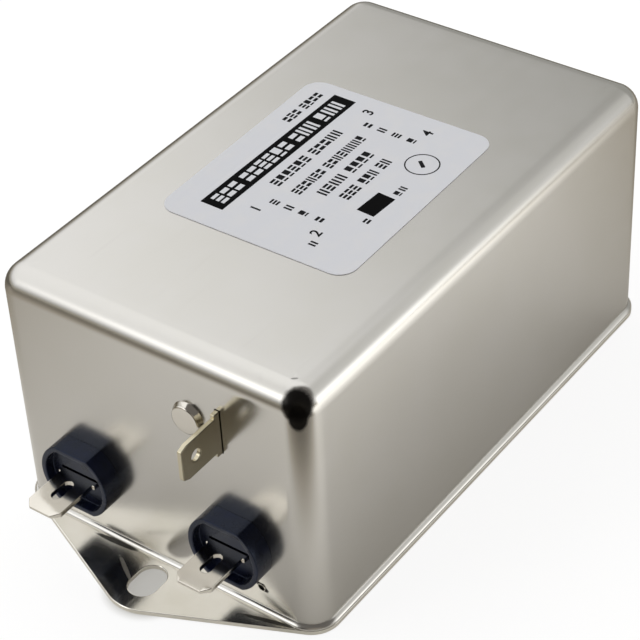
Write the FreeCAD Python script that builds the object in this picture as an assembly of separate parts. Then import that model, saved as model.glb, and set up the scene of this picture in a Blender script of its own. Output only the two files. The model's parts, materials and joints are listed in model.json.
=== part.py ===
import FreeCAD, Part
import math
import os

# Line filter in a drawn steel can, with two blade terminals at each end and an earth tab.
# Millimetres. +X runs from the line end to the load end, +Z is up, and the origin is the
# middle of the underside of the base plate, which is the face that is screwed to a chassis.

Vector = FreeCAD.Vector
AXIS_X = Vector(1, 0, 0)
AXIS_Y = Vector(0, 1, 0)
AXIS_Z = Vector(0, 0, 1)
ORIGIN = Vector(0, 0, 0)

# Can and base plate
case_length = 94.0
case_width = 56.8
case_height = 45.3
sheet = 0.8
corner_radius = 4.2
top_radius = 3.8
rim_overhang = 0.65
rim_bend = 0.5
plate_thickness = 0.8

# Ears of the base plate
ear_tip = 58.1
ear_tip_radius = 7.6
slot_spacing = 103.8
slot_length = 6.8
slot_width = 4.8

# Rating label, stuck on by hand a little off the middle
label_length = 41.4
label_width = 34.6
label_shift_x = -0.9
label_shift_y = 0.4
label_turn = 0.7
label_corner = 3.0
label_thickness = 0.12

# Terminal insulators: a shallow cup outside the wall and a snap-in body inside it
terminal_offset = 14.2
terminal_height = 12.65
cup_radius = 6.4
cup_flats = 11.15
cup_reach = 3.4
cup_recess = 1.65
cup_wall = 0.9
neck_radius = 5.2
neck_flats = 9.2
neck_length = 3.2
lug_height = 0.6
lug_length = 1.6
lug_width = 4.0

# Blade terminals
blade_width = 6.3
blade_thickness = 0.8
blade_reach = 11.2
blade_chamfer = 1.25
blade_chamfer_side = 1.1
shoulder_width = 7.1
shoulder_reach = 1.0
blade_slot_length = 4.2
blade_slot_width = 1.7
blade_slot_place = 5.9
tail_width = 4.6
tail_length = 3.4
tail_hole_inset = 1.6

# Earth tab, riveted to the inside of the line end
tab_offset = -12.9
tab_drop = 11.9
tab_reach = 8.75
tab_chamfer = 1.35
tab_chamfer_side = 0.55
tab_shoulder_width = 7.8
tab_shoulder_reach = 1.2
tab_hole_diameter = 2.1
tab_hole_inset = 3.1
tab_foot = 9.6
rivet_offset = 5.5
rivet_shank = 1.6
rivet_head = 2.8
rivet_face = 2.4
rivet_head_height = 1.0
rivet_edge = 0.25
rivet_upset = 2.3
rivet_upset_height = 0.8

# Vent hole in the line end
vent_offset = -18.3
vent_height = 5.4
vent_diameter = 1.2

# Circuit board and the sheet under it
insulation_thickness = 0.4
insulation_margin = 0.5
board_margin = 0.8
board_side_margin = 2.6
board_thickness = 1.6
board_gap = 2.0

# Chokes
core_radius = 15.0
core_bore_radius = 8.5
core_height = 12.0
wire = 1.7
turns = 9
turn_pitch = 12.0
choke_offset_x = 18.2
choke_lift = 2.0
divider_thickness = 3.6
divider_cheek = 1.4

# Capacitors and resistor
x_cap_thickness = 10.0
x_cap_length = 26.0
x_cap_height = 19.0
x_cap_spacing = 26.0
x_cap_edge = 0.8
winding_gap = 3.5
y_cap_radius = 4.6
y_cap_thickness = 4.0
y_cap_edge = 1.3
y_cap_offset = 5.6
y_cap_row = -13.0
y_cap_lift = 1.6
pin_radius = 0.35
pin_spacing = 5.0
resistor_radius = 1.8
resistor_length = 8.0
resistor_row = 13.0
resistor_lead_overhang = 2.0
resistor_lift = 0.9

# Wires, resin and fits
lead_radius = 0.8
earth_lead_radius = 0.6
resin_level = 20.0
fit = 0.05
potting_clearance = 0.1

# How far a cutting tool runs past what it cuts, and how close two places count as the same
overcut = 1.0
near = 1e-6

# Places worked out from the sizes above
half_length = case_length / 2
half_width = case_width / 2
wall_x = -half_length
inner_x = wall_x + sheet
can_bottom = plate_thickness
cavity_top = case_height - sheet
cavity_length = case_length - 2 * sheet
cavity_width = case_width - 2 * sheet
board_bottom = plate_thickness + insulation_thickness + board_gap
board_top = board_bottom + board_thickness
foot_x = inner_x + blade_thickness
core_z = board_top + choke_lift + core_radius
tab_height = case_height - tab_drop

# The chokes and the capacitors stand side by side, and together in the middle of the can
contents_width = x_cap_length + winding_gap + core_height + 2 * wire
x_cap_offset = contents_width / 2 - x_cap_length / 2
choke_offset_y = -contents_width / 2 + wire + core_height / 2


def box(x_range, y_range, z_range):
    """A box from its low and high limit along each axis."""
    size = [high - low for low, high in (x_range, y_range, z_range)]
    return Part.makeBox(*size, Vector(x_range[0], y_range[0], z_range[0]))


def edges_where(shape, test):
    """The edges whose middle point and two ends all pass a test."""
    chosen = []
    for edge in shape.Edges:
        first, last = edge.ParameterRange
        points = [edge.valueAt(first + share * (last - first)) for share in (0.0, 0.5, 1.0)]
        if all(test(point) for point in points):
            chosen.append(edge)
    return chosen


def upright_edges(shape):
    """The straight edges of a prism that run along Z."""
    chosen = []
    for edge in shape.Edges:
        if len(edge.Vertexes) == 2:
            run = edge.Vertexes[1].Point - edge.Vertexes[0].Point
            if math.hypot(run.x, run.y) < near:
                chosen.append(edge)
    return chosen


def rounded_block(length, width, bottom, top, corner, top_fillet=0.0):
    """A block centred on the Z axis with round upright corners and, if asked, a round top edge."""
    block = box((-length / 2, length / 2), (-width / 2, width / 2), (bottom, top))
    block = block.makeFillet(corner, upright_edges(block))
    if top_fillet:
        rim = edges_where(block, lambda point: abs(point.z - top) < near)
        block = block.makeFillet(top_fillet, rim)
    return block


def prism(points, thickness):
    """A flat plate from an outline of points, thickened along +Z."""
    outline = Part.makePolygon([Vector(*point) for point in points + points[:1]])
    return Part.Face(outline).extrude(Vector(0, 0, thickness))


def rod(start, end, radius):
    """A round rod between two points."""
    run = Vector(*end) - Vector(*start)
    return Part.makeCylinder(radius, run.Length, Vector(*start), run)


def oblong(x, y, length, width, bottom, top):
    """A prism with round ends, long along X, for cutting a slot."""
    reach = (length - width) / 2
    middle = box((x - reach, x + reach), (y - width / 2, y + width / 2), (bottom, top))
    ends = [rod((x + side * reach, y, bottom), (x + side * reach, y, top), width / 2) for side in (-1, 1)]
    return middle.multiFuse(ends).removeSplitter()


def at_end(shape, end):
    """A piece made for the line end, turned half a turn about Z where it belongs to the load end."""
    placed = shape.copy()
    if end == "load":
        placed.rotate(ORIGIN, AXIS_Z, 180)
    return placed


def end_side(end, offset):
    """The y that a piece is made at so that it ends up at an offset after at_end."""
    return -offset if end == "load" else offset


def flatted_disc(x_range, y, radius, flats):
    """A disc along X with two flats, above and below, at a terminal's height."""
    disc = rod((x_range[0], y, terminal_height), (x_range[1], y, terminal_height), radius)
    limits = (terminal_height - flats / 2, terminal_height + flats / 2)
    return disc.common(box(x_range, (y - radius, y + radius), limits))


def tangent_normal(centre_a, radius_a, centre_b, radius_b):
    """The unit normal of the line that touches two circles on its left, going from a to b."""
    run_x = centre_b[0] - centre_a[0]
    run_y = centre_b[1] - centre_a[1]
    turn = math.atan2(run_y, run_x) + math.acos((radius_a - radius_b) / math.hypot(run_x, run_y))
    return math.cos(turn), math.sin(turn)


def base_plate():
    """The plate that closes the can: its sides touch the corner arcs and a round tip at each ear."""
    corner = corner_radius + rim_overhang
    corner_x = half_length - corner_radius
    corner_y = half_width - corner_radius
    tip_x = ear_tip - ear_tip_radius
    slope_x, slope_y = tangent_normal((-tip_x, 0), ear_tip_radius, (-corner_x, corner_y), corner)
    slope_x = abs(slope_x)
    slope_y = abs(slope_y)
    arcs = [
        (-tip_x, 0, ear_tip_radius, (-slope_x, slope_y), (-slope_x, -slope_y)),
        (-corner_x, -corner_y, corner, (-slope_x, -slope_y), (0, -1)),
        (corner_x, -corner_y, corner, (0, -1), (slope_x, -slope_y)),
        (tip_x, 0, ear_tip_radius, (slope_x, -slope_y), (slope_x, slope_y)),
        (corner_x, corner_y, corner, (slope_x, slope_y), (0, 1)),
        (-corner_x, corner_y, corner, (0, 1), (-slope_x, slope_y)),
    ]
    pieces = []
    ends = []
    for x, y, radius, start, end in arcs:
        middle = Vector(start[0] + end[0], start[1] + end[1], 0).normalize()
        points = [Vector(x + radius * way[0], y + radius * way[1], 0) for way in (start, middle, end)]
        pieces.append(Part.Arc(*points).toShape())
        ends.append((points[0], points[2]))
    for index, (first, last) in enumerate(ends):
        following = ends[(index + 1) % len(ends)][0]
        pieces.append(Part.makeLine(last, following))
    outline = Part.Wire(Part.__sortEdges__(pieces))
    plate = Part.Face(outline).extrude(Vector(0, 0, plate_thickness))
    for side in (-1, 1):
        plate = plate.cut(oblong(side * slot_spacing / 2, 0, slot_length, slot_width,
                                -overcut, plate_thickness + overcut))
    return plate


def cavity_block():
    """The space inside the can, from the base plate up."""
    return rounded_block(cavity_length, cavity_width, can_bottom, cavity_top,
                         corner_radius - sheet, top_radius - sheet)


def case_can():
    """The drawn can: one sheet with a round top edge and a rim turned outwards at its mouth."""
    wall = rounded_block(case_length, case_width, can_bottom, case_height, corner_radius, top_radius)
    rim = rounded_block(case_length + 2 * rim_overhang, case_width + 2 * rim_overhang,
                        can_bottom, can_bottom + sheet, corner_radius + rim_overhang)
    can = wall.fuse(rim).removeSplitter()

    def is_root(point):
        """True on the line where the wall meets the top of the rim."""
        outside = max(abs(point.x) - half_length, abs(point.y) - half_width)
        return abs(point.z - can_bottom - sheet) < near and outside < near

    can = can.makeFillet(rim_bend, edges_where(can, is_root))
    can = can.cut(cavity_block())

    def is_mouth(point):
        """True on the inner edge of the mouth."""
        inside = max(abs(point.x) - cavity_length / 2, abs(point.y) - cavity_width / 2)
        return abs(point.z - can_bottom) < near and inside < near

    can = can.makeFillet(rim_bend + sheet, edges_where(can, is_mouth))
    for end in ("line", "load"):
        for offset in (terminal_offset, -terminal_offset):
            hole = flatted_disc((wall_x - overcut, inner_x + overcut), offset,
                                neck_radius + fit, neck_flats + 2 * fit)
            can = can.cut(at_end(hole, end))
    slit = box((wall_x - overcut, inner_x + overcut),
               (tab_offset - blade_thickness / 2 - fit, tab_offset + blade_thickness / 2 + fit),
               (tab_height - tab_shoulder_width / 2 - fit, tab_height + tab_shoulder_width / 2 + fit))
    rivet_y = tab_offset + rivet_offset
    rivet_hole = rod((wall_x - overcut, rivet_y, tab_height), (inner_x + overcut, rivet_y, tab_height),
                     rivet_shank)
    vent = rod((wall_x - overcut, vent_offset, vent_height), (inner_x + overcut, vent_offset, vent_height),
               vent_diameter / 2)
    return can.cut(slit.multiFuse([rivet_hole, vent]))


def rating_label():
    """The label on the top of the can."""
    label_top = case_height + label_thickness
    label = rounded_block(label_length, label_width, case_height, label_top, label_corner)
    label.rotate(ORIGIN, AXIS_Z, label_turn)
    label.translate(Vector(label_shift_x, label_shift_y, 0))
    return label


def insulator(y):
    """One moulding: cup outside the wall, neck through it, and two snap lugs behind it."""
    cup_x = wall_x - cup_reach
    floor_x = cup_x + cup_recess
    cup = flatted_disc((cup_x, wall_x), y, cup_radius, cup_flats)
    recess = flatted_disc((cup_x - overcut, floor_x), y, cup_radius - cup_wall, cup_flats - 2 * cup_wall)
    neck = flatted_disc((floor_x, inner_x + neck_length), y, neck_radius, neck_flats)
    lug_start = inner_x + fit
    pieces = [neck]
    for side in (-1, 1):
        root = side * (neck_radius - lug_height)
        tip = side * (neck_radius + lug_height)
        low = terminal_height - lug_width / 2
        lug = prism([(lug_start, y + root, low), (lug_start, y + tip, low),
                     (lug_start + lug_length, y + root, low)], lug_width)
        pieces.append(lug)
    body = cup.cut(recess).multiFuse(pieces)
    seat = box((floor_x - overcut, inner_x + neck_length + overcut),
               (y - shoulder_width / 2, y + shoulder_width / 2),
               (terminal_height - blade_thickness / 2, terminal_height + blade_thickness / 2))
    return body.cut(seat).removeSplitter()


def blade(y):
    """A flat blade: chamfered tip, slot, wider shoulders in the insulator, and a soldering tail."""
    tip_x = wall_x - blade_reach
    shoulder_x = wall_x - cup_reach + cup_recess - shoulder_reach
    seat_x = inner_x + neck_length
    tail_x = seat_x + tail_length
    half = blade_width / 2
    outline = [
        (tip_x, half - blade_chamfer_side),
        (tip_x + blade_chamfer, half),
        (shoulder_x, half),
        (shoulder_x, shoulder_width / 2),
        (seat_x, shoulder_width / 2),
        (seat_x, tail_width / 2),
        (tail_x, tail_width / 2),
    ]
    bottom = terminal_height - blade_thickness / 2
    points = [(x, y + reach, bottom) for x, reach in outline]
    points += [(x, y - reach, bottom) for x, reach in reversed(outline)]
    plate = prism(points, blade_thickness)
    above = bottom + blade_thickness + overcut
    slot = oblong(wall_x - blade_slot_place, y, blade_slot_length, blade_slot_width,
                  bottom - overcut, above)
    hole_x = tail_x - tail_hole_inset
    hole = rod((hole_x, y, bottom - overcut), (hole_x, y, above), lead_radius + fit)
    return plate.cut(slot.fuse(hole))


def terminal_lead(y):
    """The wire that stands on the board and passes through the tail of a blade."""
    x = inner_x + neck_length + tail_length - tail_hole_inset
    return rod((x, y, board_top), (x, y, terminal_height + blade_thickness / 2 + lead_radius), lead_radius)


def earth_tab():
    """A blade on edge, through a slit in the wall, bent flat against the inside and riveted there."""
    tip_x = wall_x - tab_reach
    half = blade_width / 2
    shoulder = tab_shoulder_width / 2
    profile = [
        (tip_x, half - tab_chamfer_side),
        (tip_x + tab_chamfer, half),
        (wall_x - tab_shoulder_reach, half),
        (wall_x - tab_shoulder_reach, shoulder),
        (foot_x, shoulder),
    ]
    y = tab_offset - blade_thickness / 2
    points = [Vector(x, y, tab_height + reach) for x, reach in profile]
    points += [Vector(x, y, tab_height - reach) for x, reach in reversed(profile)]
    tab = Part.Face(Part.makePolygon(points + points[:1])).extrude(Vector(0, blade_thickness, 0))
    foot = box((inner_x, foot_x), (y, y + tab_foot), (tab_height - shoulder, tab_height + shoulder))
    piece = tab.fuse(foot).removeSplitter()

    def is_bend(point):
        """True on the outer edge of the bend."""
        return abs(point.x - foot_x) < near and abs(point.y - y) < near

    piece = piece.makeFillet(blade_thickness, edges_where(piece, is_bend))
    hole_x = tip_x + tab_hole_inset
    hole = rod((hole_x, y - overcut, tab_height), (hole_x, y + blade_thickness + overcut, tab_height),
               tab_hole_diameter / 2)
    rivet_y = tab_offset + rivet_offset
    rivet_hole = rod((inner_x - overcut, rivet_y, tab_height), (foot_x + overcut, rivet_y, tab_height),
                     rivet_shank)
    return piece.cut(hole.fuse(rivet_hole))


def earth_tab_rivet():
    """The rivet: a low round head outside, a shank through wall and foot, an upset head inside."""
    y = tab_offset + rivet_offset
    face_x = wall_x - rivet_head_height
    head = Part.makeCone(rivet_face, rivet_head, rivet_head_height, Vector(face_x, y, tab_height), AXIS_X)

    def is_face_edge(point):
        """True on the edge of the head's flat face."""
        return abs(point.x - face_x) < near

    head = head.makeFillet(rivet_edge, edges_where(head, is_face_edge))
    shank = rod((wall_x, y, tab_height), (foot_x + rivet_upset_height, y, tab_height), rivet_shank)
    upset = rod((foot_x, y, tab_height), (foot_x + rivet_upset_height, y, tab_height), rivet_upset)
    return head.multiFuse([shank, upset]).removeSplitter()


def earth_lead():
    """The wire from the foot of the earth tab down to the board."""
    x = foot_x + earth_lead_radius
    y = tab_offset - blade_thickness / 2 + tab_foot - earth_lead_radius
    return rod((x, y, board_top), (x, y, tab_height), earth_lead_radius)


def insulating_sheet():
    """The thin card between the board and the base plate."""
    reach_x = cavity_length / 2 - rim_bend - insulation_margin
    reach_y = cavity_width / 2 - rim_bend - insulation_margin
    return rounded_block(2 * reach_x, 2 * reach_y, plate_thickness, plate_thickness + insulation_thickness,
                         corner_radius - sheet - insulation_margin)


def circuit_board():
    """The board that carries the inner parts."""
    reach_x = cavity_length / 2 - board_margin
    reach_y = cavity_width / 2 - board_side_margin
    return box((-reach_x, reach_x), (-reach_y, reach_y), (board_bottom, board_top))


def choke_core(x):
    """The ferrite ring, standing on edge with its axis along Y."""
    low_y = choke_offset_y - core_height / 2
    high_y = choke_offset_y + core_height / 2
    ring = rod((x, low_y, core_z), (x, high_y, core_z), core_radius)
    return ring.cut(rod((x, low_y - overcut, core_z), (x, high_y + overcut, core_z), core_bore_radius))


def choke_divider(x):
    """The plastic web that stands on the board, saddles the ring and keeps the windings apart."""
    reach_y = core_height / 2 + divider_cheek
    web = box((x - divider_thickness / 2, x + divider_thickness / 2),
              (choke_offset_y - reach_y, choke_offset_y + reach_y),
              (board_top, core_z + core_bore_radius - divider_cheek))
    return web.cut(choke_core(x))


def choke_winding(x, side):
    """Half of a choke's copper: turns of wire side by side round one half of the ring."""
    inner = core_bore_radius - wire
    outer = core_radius + wire
    reach_y = core_height / 2 + wire
    loop = box((inner, outer), (-reach_y, reach_y), (-wire / 2, wire / 2))
    window = box((core_bore_radius, core_radius), (-core_height / 2, core_height / 2), (-wire, wire))
    ring_space = choke_core(0).translated(Vector(0, -choke_offset_y, -core_z))
    turn = loop.cut(window)
    first = -turn_pitch * (turns - 1) / 2
    loops = []
    for index in range(turns):
        copy = turn.copy()
        copy.rotate(ORIGIN, AXIS_Y, first + index * turn_pitch)
        loops.append(copy)
    winding = loops[0].multiFuse(loops[1:]).cut(ring_space)
    if side < 0:
        winding.rotate(ORIGIN, AXIS_Z, 180)
    winding.translate(Vector(x, choke_offset_y, core_z))
    return winding.removeSplitter()


def x_capacitor(x):
    """A box capacitor between live and neutral."""
    body = box((x - x_cap_thickness / 2, x + x_cap_thickness / 2),
               (x_cap_offset - x_cap_length / 2, x_cap_offset + x_cap_length / 2),
               (board_top, board_top + x_cap_height))
    return body.makeFillet(x_cap_edge, upright_edges(body))


def y_capacitor(y):
    """A disc capacitor to earth, standing on its two pins."""
    low_x = y_cap_row - y_cap_thickness / 2
    z = board_top + y_cap_lift + y_cap_radius
    disc = rod((low_x, y, z), (low_x + y_cap_thickness, y, z), y_cap_radius)
    disc = disc.makeFillet(y_cap_edge, [edge for edge in disc.Edges if edge.isClosed()])
    pins = []
    for side in (-1, 1):
        pin_y = y + side * pin_spacing / 2
        pins.append(rod((y_cap_row, pin_y, board_top), (y_cap_row, pin_y, z), pin_radius))
    return disc.multiFuse(pins).removeSplitter()


def bleed_resistor():
    """The resistor that discharges the capacitors, lying on its two bent leads."""
    z = board_top + resistor_lift + resistor_radius
    low_y = x_cap_offset - resistor_length / 2
    high_y = x_cap_offset + resistor_length / 2
    body = rod((resistor_row, low_y, z), (resistor_row, high_y, z), resistor_radius)
    pieces = []
    for y, way in ((low_y, -1), (high_y, 1)):
        corner = y + way * resistor_lead_overhang
        pieces.append(rod((resistor_row, y, z), (resistor_row, corner, z), pin_radius))
        pieces.append(Part.makeSphere(pin_radius, Vector(resistor_row, corner, z)))
        pieces.append(rod((resistor_row, corner, board_top), (resistor_row, corner, z), pin_radius))
    return body.multiFuse(pieces).removeSplitter()


def potting_resin(solids):
    """The resin that was poured with the can upside down: it fills the top and grips what stands in it."""
    block = cavity_block()
    upper = box((-half_length, half_length), (-half_width, half_width), (resin_level, case_height))
    block = block.common(upper)
    for x in (-choke_offset_x, choke_offset_x):
        reach_y = core_height / 2 + wire + potting_clearance
        radius = math.hypot(core_radius + wire, wire / 2) + potting_clearance
        pocket = rod((x, choke_offset_y - reach_y, core_z), (x, choke_offset_y + reach_y, core_z), radius)
        block = block.cut(pocket)
    for solid in solids:
        block = block.cut(solid)
    return block


def build():
    """Every node of the filter by name."""
    nodes = {"base_plate": base_plate(), "case_can": case_can(), "rating_label": rating_label()}
    for end in ("line", "load"):
        for side, offset in (("live", terminal_offset), ("neutral", -terminal_offset)):
            y = end_side(end, offset)
            nodes[f"{end}_insulator_{side}"] = at_end(insulator(y), end)
            nodes[f"{end}_blade_{side}"] = at_end(blade(y), end)
            nodes[f"{end}_lead_{side}"] = at_end(terminal_lead(y), end)
    nodes["earth_tab"] = earth_tab()
    nodes["earth_tab_rivet"] = earth_tab_rivet()
    nodes["earth_lead"] = earth_lead()
    nodes["insulating_sheet"] = insulating_sheet()
    nodes["circuit_board"] = circuit_board()
    for end, x in (("line", -choke_offset_x), ("load", choke_offset_x)):
        nodes[f"{end}_choke_core"] = choke_core(x)
        nodes[f"{end}_choke_divider"] = choke_divider(x)
        nodes[f"{end}_choke_winding_live"] = choke_winding(x, 1)
        nodes[f"{end}_choke_winding_neutral"] = choke_winding(x, -1)
    for name, x in (("line", -x_cap_spacing), ("middle", 0.0), ("load", x_cap_spacing)):
        nodes[f"x_capacitor_{name}"] = x_capacitor(x)
    for side, way in (("live", 1), ("neutral", -1)):
        nodes[f"y_capacitor_{side}"] = y_capacitor(x_cap_offset + way * y_cap_offset)
    nodes["bleed_resistor"] = bleed_resistor()
    gripped = [nodes[name] for name in nodes if name.startswith(("x_capacitor", "earth_"))]
    nodes["potting_resin"] = potting_resin(gripped)
    return nodes


os.makedirs("parts", exist_ok=True)
for name, shape in build().items():
    shape.exportStep(f"parts/{name}.step")
    print(f"{name:30s} solids {len(shape.Solids)} valid {shape.isValid()} volume {shape.Volume:10.1f}")
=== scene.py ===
import json
import math

import bmesh
import bpy
import numpy as np
from mathutils import Matrix, Vector
from mathutils.geometry import delaunay_2d_cdt


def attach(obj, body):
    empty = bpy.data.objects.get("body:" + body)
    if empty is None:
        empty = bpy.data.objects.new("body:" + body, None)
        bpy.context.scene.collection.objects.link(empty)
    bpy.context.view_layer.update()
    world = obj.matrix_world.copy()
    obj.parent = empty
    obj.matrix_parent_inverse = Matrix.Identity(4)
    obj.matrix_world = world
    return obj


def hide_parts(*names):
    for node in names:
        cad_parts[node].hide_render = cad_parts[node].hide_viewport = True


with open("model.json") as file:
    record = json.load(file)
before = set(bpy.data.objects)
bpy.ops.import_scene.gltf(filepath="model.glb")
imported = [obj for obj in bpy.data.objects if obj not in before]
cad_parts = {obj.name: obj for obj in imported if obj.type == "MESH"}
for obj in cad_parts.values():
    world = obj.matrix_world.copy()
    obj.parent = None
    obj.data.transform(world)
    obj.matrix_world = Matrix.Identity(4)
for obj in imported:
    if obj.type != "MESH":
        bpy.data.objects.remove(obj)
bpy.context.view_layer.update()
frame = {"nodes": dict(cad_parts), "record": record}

# Line filter in a drawn steel can, dressed for its photograph.
# Shapes are worked out in millimetres in the frame of the solids and stored in metres.
MM = 0.001

# Can
HALF_LENGTH = 47.0
HALF_WIDTH = 28.4
TOP = 45.3
SHEET = 0.8
CORNER = 4.2
TOP_ROUND = 3.8
PLATE = 0.8
CAN_SPACING = 1.8

# Rim of the can. Its top runs in from the edge on two arcs and meets the wall in a groove.
RIM_OVERHANG = 0.65
RIM_BEND = 0.5
RIM_FOOT = 0.13
RIM_GROOVE = 0.09
RIM_EDGE = 0.416
RIM_EDGE_HEIGHT = 0.947
RIM_SHOULDER = 1.2
RIM_SHOULDER_IN = 0.423
RIM_SHOULDER_HEIGHT = 0.52
RIM_SHOULDER_START = math.radians(33)
RIM_SHOULDER_END = math.radians(62)

# Sag in the middle of the long walls and of the top
WALL_SAG = 0.10
TOP_SAG = 0.03

# Ears
EAR_TIP = 58.1
EAR_RADIUS = 7.6
SLOT_CENTRE = 51.9
SLOT_LENGTH = 6.8
SLOT_WIDTH = 4.8
PLATE_EDGE = 0.12

# Terminals
TERMINAL_Y = 14.2
TERMINAL_Z = 12.65
CUP_RADIUS = 6.4
CUP_FLAT = 5.575
CUP_REACH = 3.4
CUP_RECESS = 1.65
CUP_WALL = 0.9
CUP_ROUND = 0.18
CUP_STEPS = 96
NECK_RADIUS = 5.2
NECK_FLAT = 4.6
NECK_END = 43.0
BLADE_HALF = 3.15
BLADE_THICKNESS = 0.8
BLADE_REACH = 11.2
BLADE_EDGE = 0.1
SHOULDER_HALF = 3.55
TAIL_END = 39.6
TAIL_HALF = 2.3

# Earth tab and its rivet
TAB_Y = -12.9
TAB_Z = 33.4
TAB_TIP = 55.75
TAB_HOLE = 1.05
RIVET_Y = -7.4
RIVET_HEAD = 2.8
RIVET_HEIGHT = 1.03
RIVET_SHANK = 1.6
VENT_Y = -18.3
VENT_Z = 5.4
VENT_RADIUS = 0.6

# Label
LABEL_LENGTH = 41.4
LABEL_WIDTH = 34.6
LABEL_X = -0.9
LABEL_Y = 0.4
LABEL_TURN = math.radians(0.7)
LABEL_THICKNESS = 0.12
LABEL_CORNER = 3.0


def unit(angle):
    """Unit vectors at angles, one row each."""
    return np.stack([np.cos(angle), np.sin(angle)], axis=-1)


def trace(arcs, steps=6, spacing=0.0):
    """A closed outline from arcs (x, y, radius, first angle, last angle) joined by straight runs.
    A point is the arc's centre plus its radius times the unit vector at an angle, and that vector is
    the way out of the material; a negative radius makes a hollow corner. Returns points and ways out."""
    points, ways = [], []
    for x, y, radius, first, last in arcs:
        way = unit(np.linspace(first, last, steps + 1))
        points.append(np.array([x, y]) + radius * way)
        ways.append(way)
    if spacing:
        for index in range(len(arcs)):
            start, end = points[index][-1], points[(index + 1) % len(arcs)][0]
            count = max(int(np.hypot(*(end - start)) / spacing), 1)
            share = np.linspace(0, 1, count + 1)[1:-1, None]
            points[index] = np.vstack([points[index], start + share * (end - start)])
            ways[index] = np.vstack([ways[index], np.repeat(ways[index][-1:], len(share), axis=0)])
    return np.vstack(points), np.vstack(ways)


def arcs_at(corners):
    """The arcs that round a polygon's corners (x, y, radius), listed anticlockwise: each arc's centre
    lies one radius inside both sides, or outside them where the polygon turns inwards."""
    arcs = []
    for index, (x, y, radius) in enumerate(corners):
        here = np.array([x, y])
        before = here - np.array(corners[index - 1][:2])
        after = np.array(corners[(index + 1) % len(corners)][:2]) - here
        before, after = before / np.hypot(*before), after / np.hypot(*after)
        first = math.atan2(-before[0], before[1])
        turn = math.atan2(before[0] * after[1] - before[1] * after[0], before @ after)
        way = np.array([before[1], -before[0]])
        signed = math.copysign(radius, turn)
        start = here - before * radius * math.tan(abs(turn) / 2)
        centre = start - way * signed
        arcs.append((centre[0], centre[1], signed, first, first + turn))
    return arcs


def rectangle(x, y, half_x, half_y, radius):
    """The corners of a rectangle round a centre, anticlockwise."""
    return [(x + sx * half_x, y + sy * half_y, radius) for sx, sy in ((-1, -1), (1, -1), (1, 1), (-1, 1))]


def hole(loop):
    """A loop as the edge of a hole: the way out of the material is into the hole."""
    return loop[0], -loop[1]


def circle(x, y, radius, steps=36):
    """A circle as one loop, with its way out."""
    way = unit(np.linspace(0, 2 * math.pi, steps, endpoint=False))
    return np.array([x, y]) + radius * way, way


def inside(points, loops):
    """Even-odd test of points against closed loops: a point is inside where a line from it to the
    right crosses the loops an odd number of times."""
    odd = np.zeros(len(points), bool)
    x, y = points[:, :1], points[:, 1:]
    for loop in loops:
        ax, ay = loop[:, 0], loop[:, 1]
        bx, by = np.roll(ax, -1), np.roll(ay, -1)
        rise = np.where(by == ay, 1e-12, by - ay)
        hit = ((ay > y) != (by > y)) & (x < ax + (y - ay) / rise * (bx - ax))
        odd ^= (hit.sum(axis=1) % 2).astype(bool)
    return odd


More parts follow.
